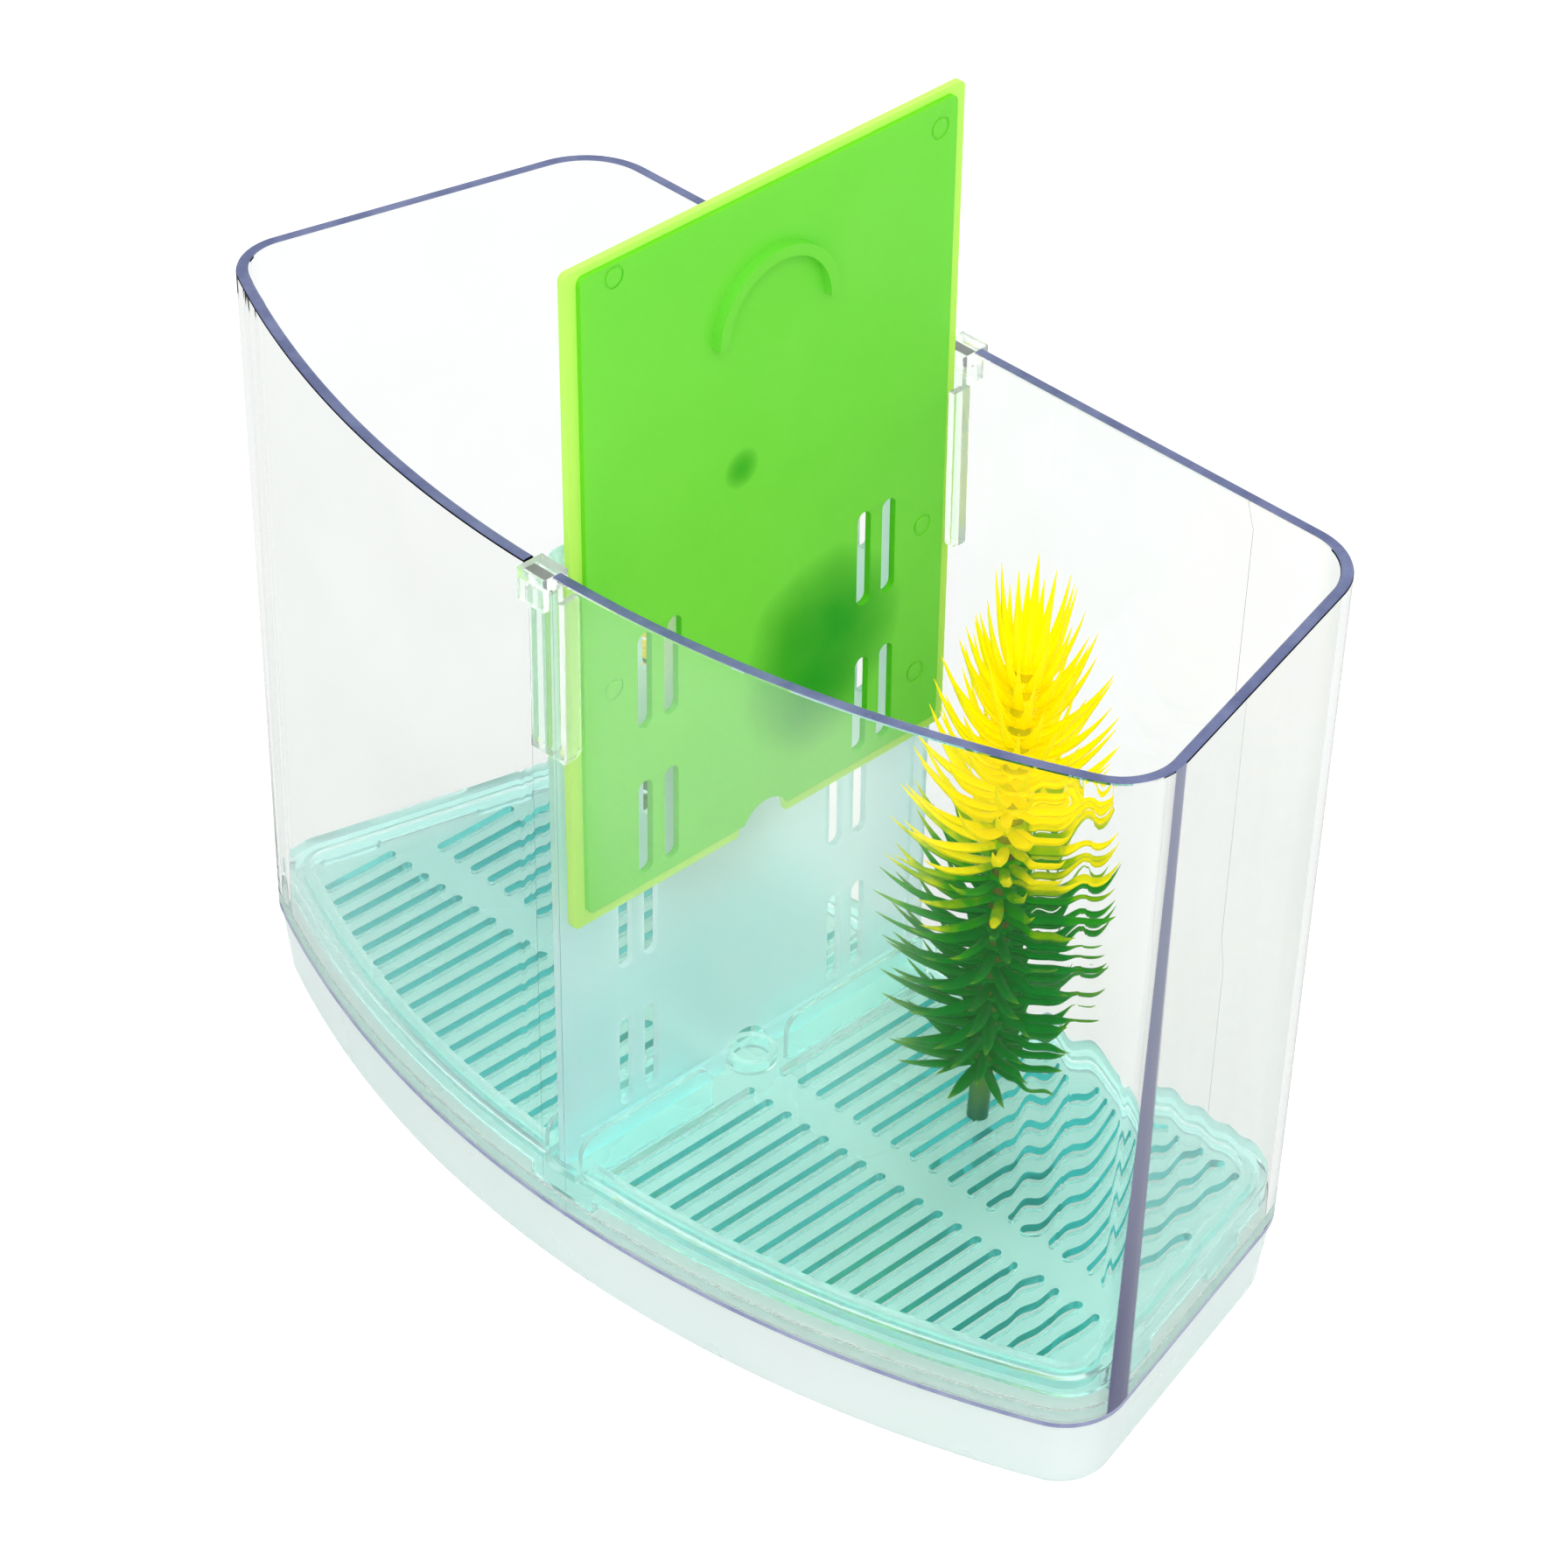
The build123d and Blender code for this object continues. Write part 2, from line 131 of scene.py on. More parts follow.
class Shader:
    """a material's node tree with a few shorthands"""

    def __init__(self, name):
        self.material = bpy.data.materials.new(name)
        self.material.use_nodes = True
        self.tree = self.material.node_tree
        self.tree.nodes.clear()
        self.output = self.node("ShaderNodeOutputMaterial")
        self.place = self.node("ShaderNodeTexCoord").outputs["Object"]

    def node(self, kind, **settings):
        made = self.tree.nodes.new(kind)
        for key, value in settings.items():
            setattr(made, key, value)
        return made

    def link(self, source, target):
        self.tree.links.new(source, target)

    def put(self, target, value):
        if isinstance(value, bpy.types.NodeSocket):
            self.link(value, target)
        elif isinstance(value, tuple) and len(value) == 3 and target.type == "RGBA":
            target.default_value = (*value, 1)
        else:
            target.default_value = value

    def noise(self, scale, detail=3.0, rough=0.5, stretch=None):
        made = self.node("ShaderNodeTexNoise")
        made.inputs["Scale"].default_value = scale
        made.inputs["Detail"].default_value = detail
        made.inputs["Roughness"].default_value = rough
        self.link(self.scaled(stretch) if stretch else self.place, made.inputs["Vector"])
        return made.outputs["Fac"]

    def scaled(self, factors):
        made = self.node("ShaderNodeMapping")
        made.inputs["Scale"].default_value = factors
        self.link(self.place, made.inputs["Vector"])
        return made.outputs["Vector"]

    def spread(self, value, low, high, to_low=0.0, to_high=1.0):
        made = self.node("ShaderNodeMapRange")
        self.put(made.inputs["Value"], value)
        limits = {"From Min": low, "From Max": high, "To Min": to_low, "To Max": to_high}
        for key, number in limits.items():
            made.inputs[key].default_value = number
        return made.outputs["Result"]

    def math(self, operation, a, b=0.0):
        made = self.node("ShaderNodeMath", operation=operation)
        self.put(made.inputs[0], a)
        self.put(made.inputs[1], b)
        return made.outputs[0]

    def blend(self, share, a, b):
        made = self.node("ShaderNodeMix", data_type="RGBA")
        self.put(made.inputs["Factor"], share)
        self.put(made.inputs["A"], a)
        self.put(made.inputs["B"], b)
        return made.outputs["Result"]

    def bump(self, height, strength, distance):
        made = self.node("ShaderNodeBump")
        made.inputs["Strength"].default_value = strength
        made.inputs["Distance"].default_value = distance
        self.link(height, made.inputs["Height"])
        return made.outputs["Normal"]

    def axis(self, name):
        made = self.node("ShaderNodeSeparateXYZ")
        self.link(self.place, made.inputs[0])
        return made.outputs[name]

    def principled(self, **values):
        made = self.node("ShaderNodeBsdfPrincipled")
        for key, value in values.items():
            self.put(made.inputs[key.replace("_", " ")], value)
        return made

    def mix(self, share, first, second):
        made = self.node("ShaderNodeMixShader")
        self.put(made.inputs[0], share)
        self.link(first, made.inputs[1])
        self.link(second, made.inputs[2])
        return made.outputs[0]

    def finish(self, surface):
        self.link(surface, self.output.inputs["Surface"])
        return self.material

    def finish_glass(self, surface, shade):
        """glass that lets the lamps through, tinting what they light"""
        path = self.node("ShaderNodeLightPath")
        clear = self.node("ShaderNodeBsdfTransparent")
        clear.inputs["Color"].default_value = (*shade, 1)
        return self.finish(self.mix(path.outputs["Is Shadow Ray"], surface, clear.outputs[0]))


def scatter(s, colour):
    """light from both sides, as thin milky plastic sends it on"""
    front = s.node("ShaderNodeBsdfDiffuse")
    behind = s.node("ShaderNodeBsdfTranslucent")
    both = s.node("ShaderNodeAddShader")
    for index, part in enumerate((front, behind)):
        s.put(part.inputs["Color"], colour)
        s.link(part.outputs[0], both.inputs[index])
    return both.outputs[0]


def see_through(s, share, tint, deep, rough, mirror, normal=None):
    """clear plastic that mirrors only a share of what plain glass would on its way in"""
    shader = s.principled(
        Base_Color=s.blend(share, tint, deep),
        Roughness=rough,
        IOR=PLASTIC_IOR,
        Specular_Tint=(0.1, 0.1, 0.1),
        Transmission_Weight=1.0,
    )
    bend = s.node("ShaderNodeBsdfRefraction")
    # each of a plate's two faces takes its half of the colour
    roots = [tuple(math.sqrt(c) for c in colour) for colour in (tint, deep)]
    s.put(bend.inputs["Color"], s.blend(share, *roots))
    s.put(bend.inputs["Roughness"], rough)
    bend.inputs["IOR"].default_value = PLASTIC_IOR
    if normal is not None:
        s.link(normal, shader.inputs["Normal"])
        s.link(normal, bend.inputs["Normal"])
    inside = s.node("ShaderNodeNewGeometry").outputs["Backfacing"]
    return s.mix(s.math("MAXIMUM", inside, mirror), bend.outputs[0], shader.outputs[0])


def clear_plastic(name, tint, shade, rough, mirror, solid):
    """clear moulding; solid is the share of light that it scatters"""
    s = Shader(name)
    smudge = s.spread(s.noise(45.0, 4.0), 0.35, 0.7)
    gloss = s.spread(s.noise(120.0, 3.0), 0.3, 0.7, rough, rough + 0.03)
    deep = tuple(c * 0.985 for c in tint)
    glass = see_through(s, smudge, tint, deep, gloss, mirror)
    return s.finish_glass(s.mix(solid, glass, scatter(s, tint)), shade)


def wall_plastic(name, tint, deep, shade):
    """clear walls, greyer where seen at a slant, with a painted sheen, the floor's reflection painted on,
    over the bow's right-hand half and a violet stripe painted up the right-hand front corner, where the
    wall's tint shows edge-on"""
    s = Shader(name)
    smudge = s.spread(s.noise(45.0, 4.0), 0.35, 0.7, 0.0, 0.12)
    gloss = s.spread(s.noise(90.0, 3.0), 0.3, 0.7, 0.0, 0.02)
    facing = s.node("ShaderNodeLayerWeight").outputs["Facing"]
    share = s.math("ADD", smudge, s.spread(facing, 0.42, 0.85))
    clear = see_through(s, share, tint, deep, gloss, 0.22)
    x, y, z = (s.axis(letter) for letter in "XYZ")
    # the painted sheen, the floor's reflection painted on, fades in and out along x, towards the foot and
    # behind the bow
    painted_sheen = s.math("MULTIPLY", s.spread(x, 0.0, 0.012), s.spread(x, 0.071, 0.056))
    painted_sheen = s.math("MULTIPLY", painted_sheen, s.spread(z, 0.045, 0.1, 0.15, 1.0))
    painted_sheen = s.math("MULTIPLY", painted_sheen, s.spread(y, -0.02, -0.028))
    # painted reflection: a pale white scatter mixed in under the sheen's mask
    painted_sheen_share = 0.06
    with_painted_sheen = s.mix(s.math("MULTIPLY", painted_sheen, painted_sheen_share), clear, scatter(s, (0.95, 1.0, 0.95)))
    # the painted stripe, the wall's violet tint as seen edge-on through the corner, lies between two
    # bearings of the corner, in degrees, and is wider at the foot
    turn = s.node("ShaderNodeAttribute", attribute_name="corner").outputs["Fac"]
    near_edge = s.spread(z, 0.025, 0.12, -8.0, 0.5)
    past_near = s.spread(s.math("SUBTRACT", turn, near_edge), 0.0, 1.5)
    painted_stripe = s.math("MULTIPLY", past_near, s.spread(turn, 16.5, 14.5))
    height = s.spread(z, 0.02, 0.136)
    violet = s.blend(height, (0.06, 0.06, 0.15), (0.2, 0.22, 0.31))
    streak = s.noise(120.0, 3.0, 0.6, (1.0, 1.0, 0.1))
    band = s.principled(
        Base_Color=s.blend(s.spread(streak, 0.35, 0.65, 0.0, 0.12), violet, (0.5, 0.52, 0.6)),
        Roughness=0.25,
        Specular_IOR_Level=0.3,
    )
    return s.finish_glass(s.mix(painted_stripe, with_painted_sheen, band.outputs[0]), shade)


def edge_plastic(name, colour, deep):
    """violet, as where one looks into the length of a wall"""
    s = Shader(name)
    streak = s.noise(160.0, 3.0, 0.6, (1.0, 1.0, 0.2))
    shader = s.principled(
        Base_Color=s.blend(s.spread(streak, 0.35, 0.65), colour, deep),
        Roughness=s.spread(streak, 0.3, 0.7, 0.12, 0.28),
        IOR=PLASTIC_IOR,
        Transmission_Weight=0.1,
        Specular_IOR_Level=0.35,
    )
    return s.finish(shader.outputs[0])


def milky_plastic(name, tint, pale):
    """satin plastic that lets about a third of the light through"""
    s = Shader(name)
    cloud = s.noise(28.0, 3.0)
    fine = s.noise(900.0, 2.0)
    shader = s.principled(
        Base_Color=s.blend(s.spread(cloud, 0.3, 0.7), tint, pale),
        Roughness=s.spread(cloud, 0.3, 0.7, 0.22, 0.34),
        IOR=1.45,
        Transmission_Weight=0.35,
        Normal=s.bump(fine, 0.06, 0.0004),
    )
    return s.finish_glass(shader.outputs[0], (0.88, 0.94, 0.92))


def tinted_plastic(name, tint, deep, shade, solid=0.1):
    """coloured clear plastic; solid is the share of light that it scatters"""
    s = Shader(name)
    cloud = s.noise(35.0, 3.0)
    flow = s.noise(60.0, 2.0, 0.5, (0.3, 1.0, 1.0))
    share = s.spread(cloud, 0.3, 0.7)
    gloss = s.spread(cloud, 0.3, 0.7, 0.0, 0.04)
    glass = see_through(s, share, tint, deep, gloss, 0.5, s.bump(flow, 0.12, 0.002))
    return s.finish_glass(s.mix(solid, glass, scatter(s, s.blend(share, tint, deep))), shade)


def frosted_plastic(name, tint, pale, shade):
    """plastic that blurs and tints what stands behind it"""
    s = Shader(name)
    grain = s.noise(1400.0, 2.0)
    cloud = s.noise(30.0, 3.0)
    colour = s.blend(s.spread(cloud, 0.3, 0.7), tint, pale)
    shader = s.principled(
        Base_Color=colour,
        Roughness=s.spread(cloud, 0.3, 0.7, 0.3, 0.4),
        IOR=1.25,
        Transmission_Weight=0.9,
        Normal=s.bump(grain, 0.1, 0.0003),
    )
    return s.finish_glass(s.mix(0.2, shader.outputs[0], scatter(s, colour)), shade)


def lime_plastic(name, colour, deep, glow, shadow_and_spot=()):
    """opaque-looking moulded plastic that lets a little light through, with soft dark patches where given:
    on the green divider a painted shadow and a small dark spot
    """
    s = Shader(name)
    cloud = s.noise(26.0, 4.0, 0.55)
    grain = s.noise(700.0, 2.0)
    body = s.blend(s.spread(cloud, 0.3, 0.75), colour, deep)
    for (y, z), (wide, tall), depth in shadow_and_spot:
        across = s.math("MULTIPLY", s.math("SUBTRACT", s.axis("Y"), y * MM), 1 / (wide * MM))
        along = s.math("MULTIPLY", s.math("SUBTRACT", s.axis("Z"), z * MM), 1 / (tall * MM))
        far = s.math("ADD", s.math("MULTIPLY", across, across), s.math("MULTIPLY", along, along))
        ragged = s.math("ADD", far, s.spread(s.noise(60.0, 2.0), 0.3, 0.7, -0.15, 0.15))
        # painted shadow and spot: each patch darkens the body towards a deep green
        body = s.blend(s.spread(ragged, 1.0, 0.0, 0.0, depth), body, (0.003, 0.42, 0.001))
    shader = s.principled(
        Base_Color=body,
        Roughness=s.spread(cloud, 0.3, 0.7, 0.3, 0.42),
        IOR=PLASTIC_IOR,
        Specular_IOR_Level=0.2,
        Normal=s.bump(grain, 0.08, 0.0003),
    )
    through = s.node("ShaderNodeBsdfTranslucent")
    s.put(through.inputs["Color"], s.blend(0.6, glow, body) if shadow_and_spot else glow)
    return s.finish(s.mix(0.25, shader.outputs[0], through.outputs[0]))


def leaf_plastic(name):
    """green to yellow by the attribute "ripe", a little lighter at the tips"""
    s = Shader(name)
    ripe = s.node("ShaderNodeAttribute", attribute_name="ripe").outputs["Fac"]
    tip = s.node("ShaderNodeAttribute", attribute_name="tip").outputs["Fac"]
    mottled = s.math("ADD", ripe, s.spread(s.noise(260.0, 3.0), 0.3, 0.7, -0.1, 0.1))
    ramp = s.node("ShaderNodeValToRGB")
    stops = ramp.color_ramp.elements
    stops[0].position, stops[0].color = 0.08, (0.0, 0.26, 0.02, 1)
    stops[1].position, stops[1].color = 0.78, (0.93, 0.83, 0.0, 1)
    between = ((0.32, (0.02, 0.36, 0.0)), (0.5, (0.35, 0.55, 0.0)), (0.62, (0.8, 0.76, 0.0)))
    for position, colour in between:
        stop = stops.new(position)
        stop.color = (*colour, 1)
    s.link(mottled, ramp.inputs[0])
    green = s.math("SUBTRACT", 1.0, ripe)
    green_tip = s.math("MULTIPLY", s.math("MULTIPLY", tip, green), 0.35)
    pale = s.blend(green_tip, ramp.outputs["Color"], (0.5, 0.65, 0.05))
    rib = s.noise(500.0, 2.0, 0.5, (1.0, 1.0, 0.3))
    shader = s.principled(
        Base_Color=pale,
        Roughness=s.spread(rib, 0.3, 0.7, 0.32, 0.48),
        Specular_IOR_Level=0.25,
        Normal=s.bump(rib, 0.15, 0.0004),
    )
    # a needle lets part of the light on to the needles behind it
    return s.finish_glass(s.mix(0.22, shader.outputs[0], scatter(s, pale)), (0.87, 0.87, 0.65))


def stem_plastic(name):
    """olive stem, green below and darker at its foot"""
    s = Shader(name)
    z = s.axis("Z")
    mottle = s.noise(180.0, 3.0)
    low = s.blend(s.spread(z, 0.019, 0.027), (0.0, 0.12, 0.09), (0.1, 0.24, 0.03))
    middle = s.blend(s.spread(z, 0.04, 0.06), low, (0.2, 0.17, 0.02))
    colour = s.blend(s.spread(z, 0.073, 0.083), middle, (0.85, 0.75, 0.0))
    shader = s.principled(
        Base_Color=s.blend(s.spread(mottle, 0.35, 0.65, 0.0, 0.5), colour, (0.03, 0.2, 0.04)),
        Roughness=s.spread(mottle, 0.3, 0.7, 0.3, 0.45),
        Normal=s.bump(mottle, 0.2, 0.0004),
    )
    return s.finish(shader.outputs[0])


def floor_material():
    """pale floor that reads as white and keeps the object's shadow"""
    s = Shader("floor")
    own = s.principled(
        Base_Color=s.blend(s.noise(6.0, 2.0), (0.75, 0.76, 0.76), (0.78, 0.78, 0.78)),
        Roughness=0.8,
        Specular_IOR_Level=0.0,
    )
    lift = s.node("ShaderNodeEmission")
    lift.inputs["Color"].default_value = (1, 1, 1, 1)
    path = s.node("ShaderNodeLightPath")
    straight = s.math("MULTIPLY", path.outputs["Is Camera Ray"], FLOOR_LIFT)
    mirrored = s.math("MAXIMUM", path.outputs["Is Glossy Ray"], path.outputs["Is Transmission Ray"])
    by_glass = s.math("MULTIPLY", mirrored, GLASS_LIFT)
    s.link(s.math("MAXIMUM", straight, by_glass), lift.inputs["Strength"])
    both = s.node("ShaderNodeAddShader")
    s.link(own.outputs[0], both.inputs[0])
    s.link(lift.outputs[0], both.inputs[1])
    return s.finish(both.outputs[0])


clear_wall = wall_plastic("clear_wall", (0.98, 0.985, 0.975), (0.8, 0.81, 0.785), (0.95, 0.95, 0.95))
wall_edge = edge_plastic("wall_edge", (0.15, 0.175, 0.33), (0.085, 0.105, 0.24))
foot_edge = edge_plastic("foot_edge", (0.33, 0.35, 0.52), (0.22, 0.24, 0.42))
rail_clear = clear_plastic("rail_clear", (0.92, 0.96, 0.93), (0.88, 0.93, 0.9), 0.03, 0.6, 0.08)
base_milky = milky_plastic("base_milky", (0.88, 0.965, 0.94), (0.93, 0.98, 0.965))
tray_turquoise = tinted_plastic("tray_turquoise", (0.79, 0.97, 0.95), (0.72, 0.94, 0.92), (0.85, 0.99, 0.98))
slot_teal = tinted_plastic("slot_teal", (0.07, 0.52, 0.5), (0.04, 0.44, 0.43), (0.7, 0.95, 0.94), 0.25)
frosted = frosted_plastic("frosted", (0.6, 0.79, 0.8), (0.7, 0.81, 0.82), (0.92, 0.98, 0.97))
lime = lime_plastic("lime", (0.235, 0.83, 0.075), (0.2, 0.8, 0.055), (0.28, 0.84, 0.07), PAINTED_SHADOW_AND_SPOT)
# lit and shaded copies of the lime: the border painted paler, the step walls and the vent walls painted
# darker
lime_border_painted_light = lime_plastic("lime_border_painted_light", (0.64, 0.99, 0.17), (0.58, 0.98, 0.15), (0.75, 1.0, 0.25))
lime_step_painted_shade = lime_plastic("lime_step_painted_shade", (0.22, 0.78, 0.03), (0.18, 0.72, 0.02), (0.3, 0.9, 0.08))
lime_vent_painted_shade = lime_plastic("lime_vent_painted_shade", (0.12, 0.66, 0.01), (0.09, 0.58, 0.01), (0.2, 0.8, 0.05))
leaf = leaf_plastic("leaf")
stem = stem_plastic("stem")


# ---------- CAD nodes that stay ----------

def give(node, *materials):
    """puts materials in a node's slots, the first on all its faces"""
    slots = nodes[node].data.materials
    slots.clear()
    for material in materials:
        slots.append(material)
    for polygon in nodes[node].data.polygons:
        polygon.material_index = 0


def paint(node, index, test):
    """gives a material slot to the faces that pass a test on centre and normal, in mm"""
    for polygon in nodes[node].data.polygons:
        if test(polygon.center / MM, polygon.normal):
            polygon.material_index = index


def soften(node, width, segments=2, angle=35):
    """merges the node's shared corners and rounds its edges a little"""
    piece = nodes[node]
    weld = piece.modifiers.new("weld", "WELD")
    weld.merge_threshold = 1e-6
    bevel = piece.modifiers.new("bevel", "BEVEL")
    bevel.width = width * MM
    bevel.segments = segments
    bevel.limit_method = "ANGLE"
    bevel.angle_limit = math.radians(angle)
    bevel.use_clamp_overlap = True
    bevel.harden_normals = False
    for polygon in piece.data.polygons:
        polygon.use_smooth = True
    piece.modifiers.new("normals", "WEIGHTED_NORMAL").keep_sharp = True


give("base", base_milky)
give("front_rail", rail_clear)
give("rear_rail", rail_clear)
give("grid_tray", tray_turquoise, slot_teal)
give("clear_divider", frosted)
give("green_divider", lime, lime_border_painted_light, lime_step_painted_shade, lime_vent_painted_shade)
soften("base", 0.3)
soften("front_rail", 0.12)
soften("rear_rail", 0.12)
soften("grid_tray", 0.15)
soften("clear_divider", 0.15)
soften("green_divider", 0.15)


def in_panel(c):
    """True well inside the raised panel's outline"""
    up = c.z - GREEN_FOOT
    return abs(c.y - DIVIDER_Y) < DIVIDER_HALF - 5 and 4 < up < DIVIDER_HEIGHT - 3


def on_border(c, n):
    panel_back = n.x < -0.9 and c.x > DIVIDER_X
    low = c.x < DIVIDER_X + BORDER_HALF_THICKNESS + SKIN
    return low and not in_panel(c) and not panel_back


def on_step(c, n):
    high = c.x > DIVIDER_X + BORDER_HALF_THICKNESS + SKIN
    return abs(n.x) < 0.5 and high and not in_panel(c)


def on_vent(c, n):
    return abs(n.x) < 0.5 and c.x < DIVIDER_X + PANEL_FACE and in_panel(c)


def on_slot(c, n):
    return abs(n.z) < 0.5 and c.z < PLATE_TOP - 0.1 and tray_inside(c)


def tray_inside(c):
    """True inside the tray's lip, where upright faces are slot walls"""
    bow = -TANK_DEPTH / 2 + BOW_RADIUS - math.sqrt(BOW_RADIUS ** 2 - c.x ** 2)
    end = RIM_HALF_FRONT - END_LEAN - END_SLOPE * (c.y - CORNER_Y)
    return abs(c.x) < end - 7.5 and bow + 7.5 < c.y < BACK_Y - BACK_LEAN - 7.2 and abs(c.x) > 5


# painted light and shade: the border takes the paler copy, the step and vent walls the darker ones
paint("green_divider", 1, on_border)
paint("green_divider", 2, on_step)
paint("green_divider", 3, on_vent)
paint("grid_tray", 1, on_slot)
for side in PLANTS:
    give(side + "_stem", stem)


# ---------- tank ----------

def tank_outline(z, count):
    """points and outward normals round the outer face at height z, in mm, from the front's middle
    by the right-hand end to the back's middle and round again"""
    lean = (RIM_Z - z) / (RIM_Z - TANK_BOTTOM)
    end = RIM_HALF_FRONT - END_LEAN * lean
    bow_y = -TANK_DEPTH / 2 + BOW_RADIUS + FRONT_LEAN * lean
    back = BACK_Y - BACK_LEAN * lean
    stretch = math.hypot(1, END_SLOPE)
    normal = Vector((1, END_SLOPE)) / stretch
    along = Vector((-normal.y, normal.x))
    reach = (end + END_SLOPE * CORNER_Y) / stretch
    # centre of the front corner's arc
    start = normal * (reach - FRONT_CORNER) - Vector((0, bow_y))
    b = start.dot(along)
    c = start.length_squared - (BOW_RADIUS - FRONT_CORNER) ** 2
    front = start + Vector((0, bow_y)) + along * (-b - math.sqrt(b * b - c))
    front_from = math.atan2(front.y - bow_y, front.x)
    end_angle = math.atan2(normal.y, normal.x)
    # centre of the back corner's arc
    rear_y = back - BACK_CORNER
    rear = Vector(((reach - BACK_CORNER - normal.y * rear_y) / normal.x, rear_y))
    runs = []
    bow_centre = Vector((0, bow_y))
    for k in range(count["bow"]):
        angle = -math.pi / 2 + (front_from + math.pi / 2) * k / count["bow"]
        out = Vector((math.cos(angle), math.sin(angle)))
        runs.append((bow_centre + out * BOW_RADIUS, out))
    for k in range(count["front"]):
        angle = front_from + (end_angle - front_from) * k / count["front"]
        out = Vector((math.cos(angle), math.sin(angle)))
        runs.append((front + out * FRONT_CORNER, out))
    first, last = front + normal * FRONT_CORNER, rear + normal * BACK_CORNER
    for k in range(count["end"]):
        runs.append((first.lerp(last, k / count["end"]), normal.copy()))
    for k in range(count["rear"]):
        angle = end_angle + (math.pi / 2 - end_angle) * k / count["rear"]
        out = Vector((math.cos(angle), math.sin(angle)))
        runs.append((rear + out * BACK_CORNER, out))
    for k in range(count["back"] + 1):
        x = rear.x * (1 - k / count["back"])
        runs.append((Vector((x, back)), Vector((0, 1))))
    mirrored = [(Vector((-p.x, p.y)), Vector((-n.x, n.y))) for p, n in runs[-2:0:-1]]
    return runs + mirrored


def ripple(p):
    """how much the inner face rises and falls by the front corners and the ends, in mm"""
    x = abs(p.x)
    bow_from, bow_phase = 82, 84
    if p.y < CORNER_Y + 2 and x > bow_from:
        height, length = BOW_RIPPLE
        return height * math.sin(TAU * (x - bow_phase) / length) * min(1.0, (x - bow_from) / 2)
    if p.y > CORNER_Y + 8 and x > RIM_HALF_FRONT - 40:
        height, length = END_RIPPLE
        fade = min(1.0, max(0.0, (BACK_Y - 16 - p.y) / 8))
        return height * math.sin(TAU * p.y / length) * fade
    return 0.0


def corner_turn(p, n):
    """which way the right-hand front corner faces, in degrees, running on along the end wall"""
    if p.x < RIM_HALF_FRONT - 40:
        return NO_CORNER
    end_angle = math.degrees(math.atan(END_SLOPE))
    angle = min(math.degrees(math.atan2(n.y, n.x)), end_angle)
    return angle + max(0.0, p.y - ARC_END_Y) * 5


def snap_notch(points):
    """moves the outline's points nearest to each side of the notch onto that side"""
    for k, (p, n) in enumerate(points):
        x = abs(p.x)
        if 0.5 * NOTCH_HALF < x < NOTCH_HALF:
            points[k] = (Vector((math.copysign(NOTCH_HALF - 0.005, p.x), p.y)), n)
        elif NOTCH_HALF <= x < 1.6 * NOTCH_HALF:
            points[k] = (Vector((math.copysign(NOTCH_HALF + 0.005, p.x), p.y)), n)
    return points


